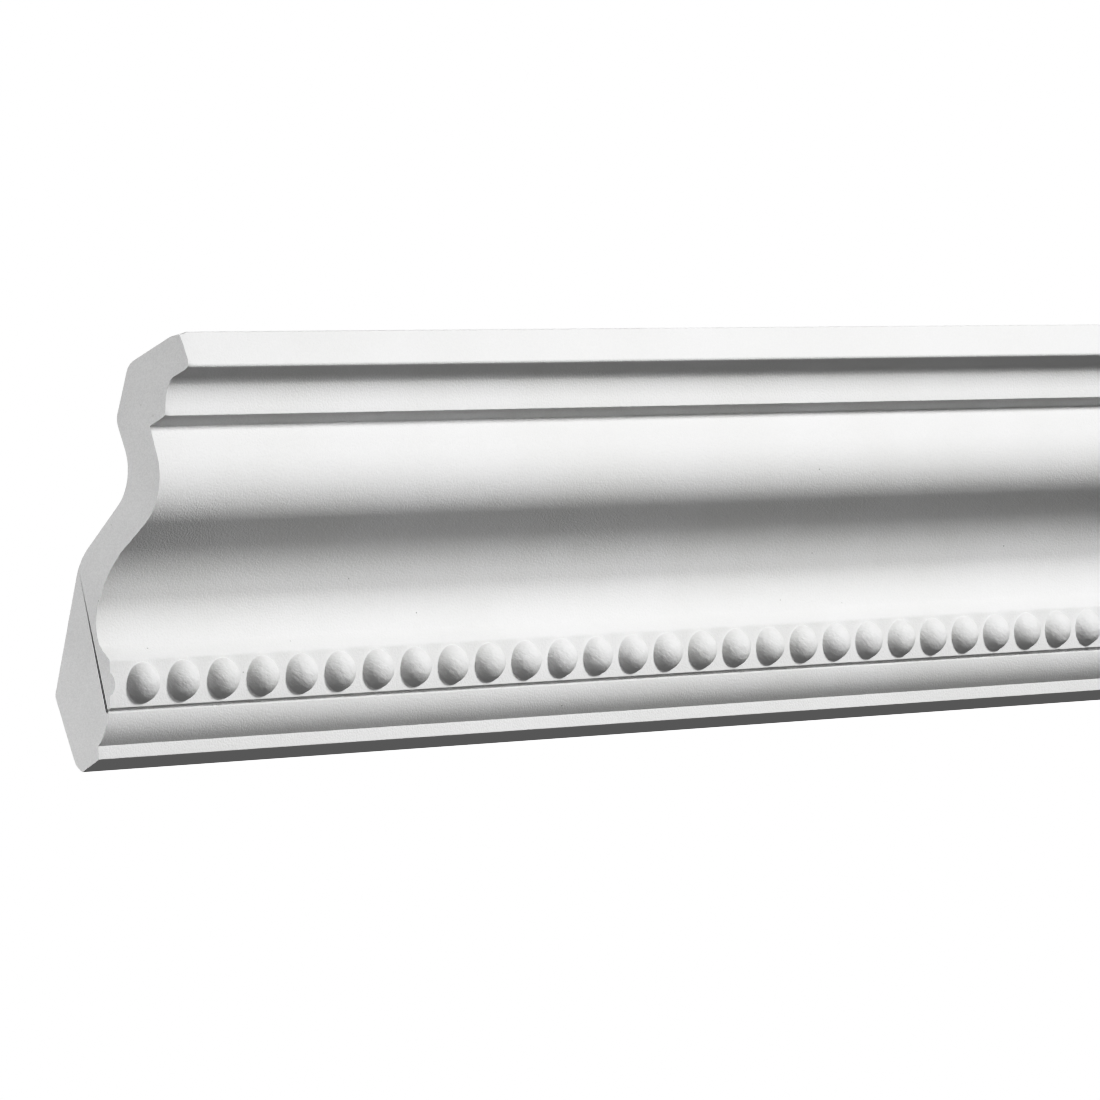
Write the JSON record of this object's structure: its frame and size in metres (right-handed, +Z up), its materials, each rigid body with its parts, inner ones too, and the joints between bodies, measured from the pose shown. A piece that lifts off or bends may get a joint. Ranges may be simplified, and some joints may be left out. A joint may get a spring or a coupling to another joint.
{
  "type": "cornice moulding length",
  "caption": "Straight length of white cast foam cornice for a wall and ceiling angle, with a cavetto, a cyma reversa, a row of beads and a small ovolo, hollowed behind.",
  "frame": {"origin": "middle of the flat face that lies against the wall, half way along the length", "axes": "+X along the length, +Y into the wall, -Y into the room, +Z up to the ceiling"},
  "size_m": [0.5774, 0.1115, 0.1208],
  "materials": {
    "primed_foam": "matt white primed skin of a rigid cast foam, with a fine-grained cut face at each end"
  },
  "bodies": {
    "root": {"cornice_moulding": "primed_foam"}
  },
  "joints": []
}
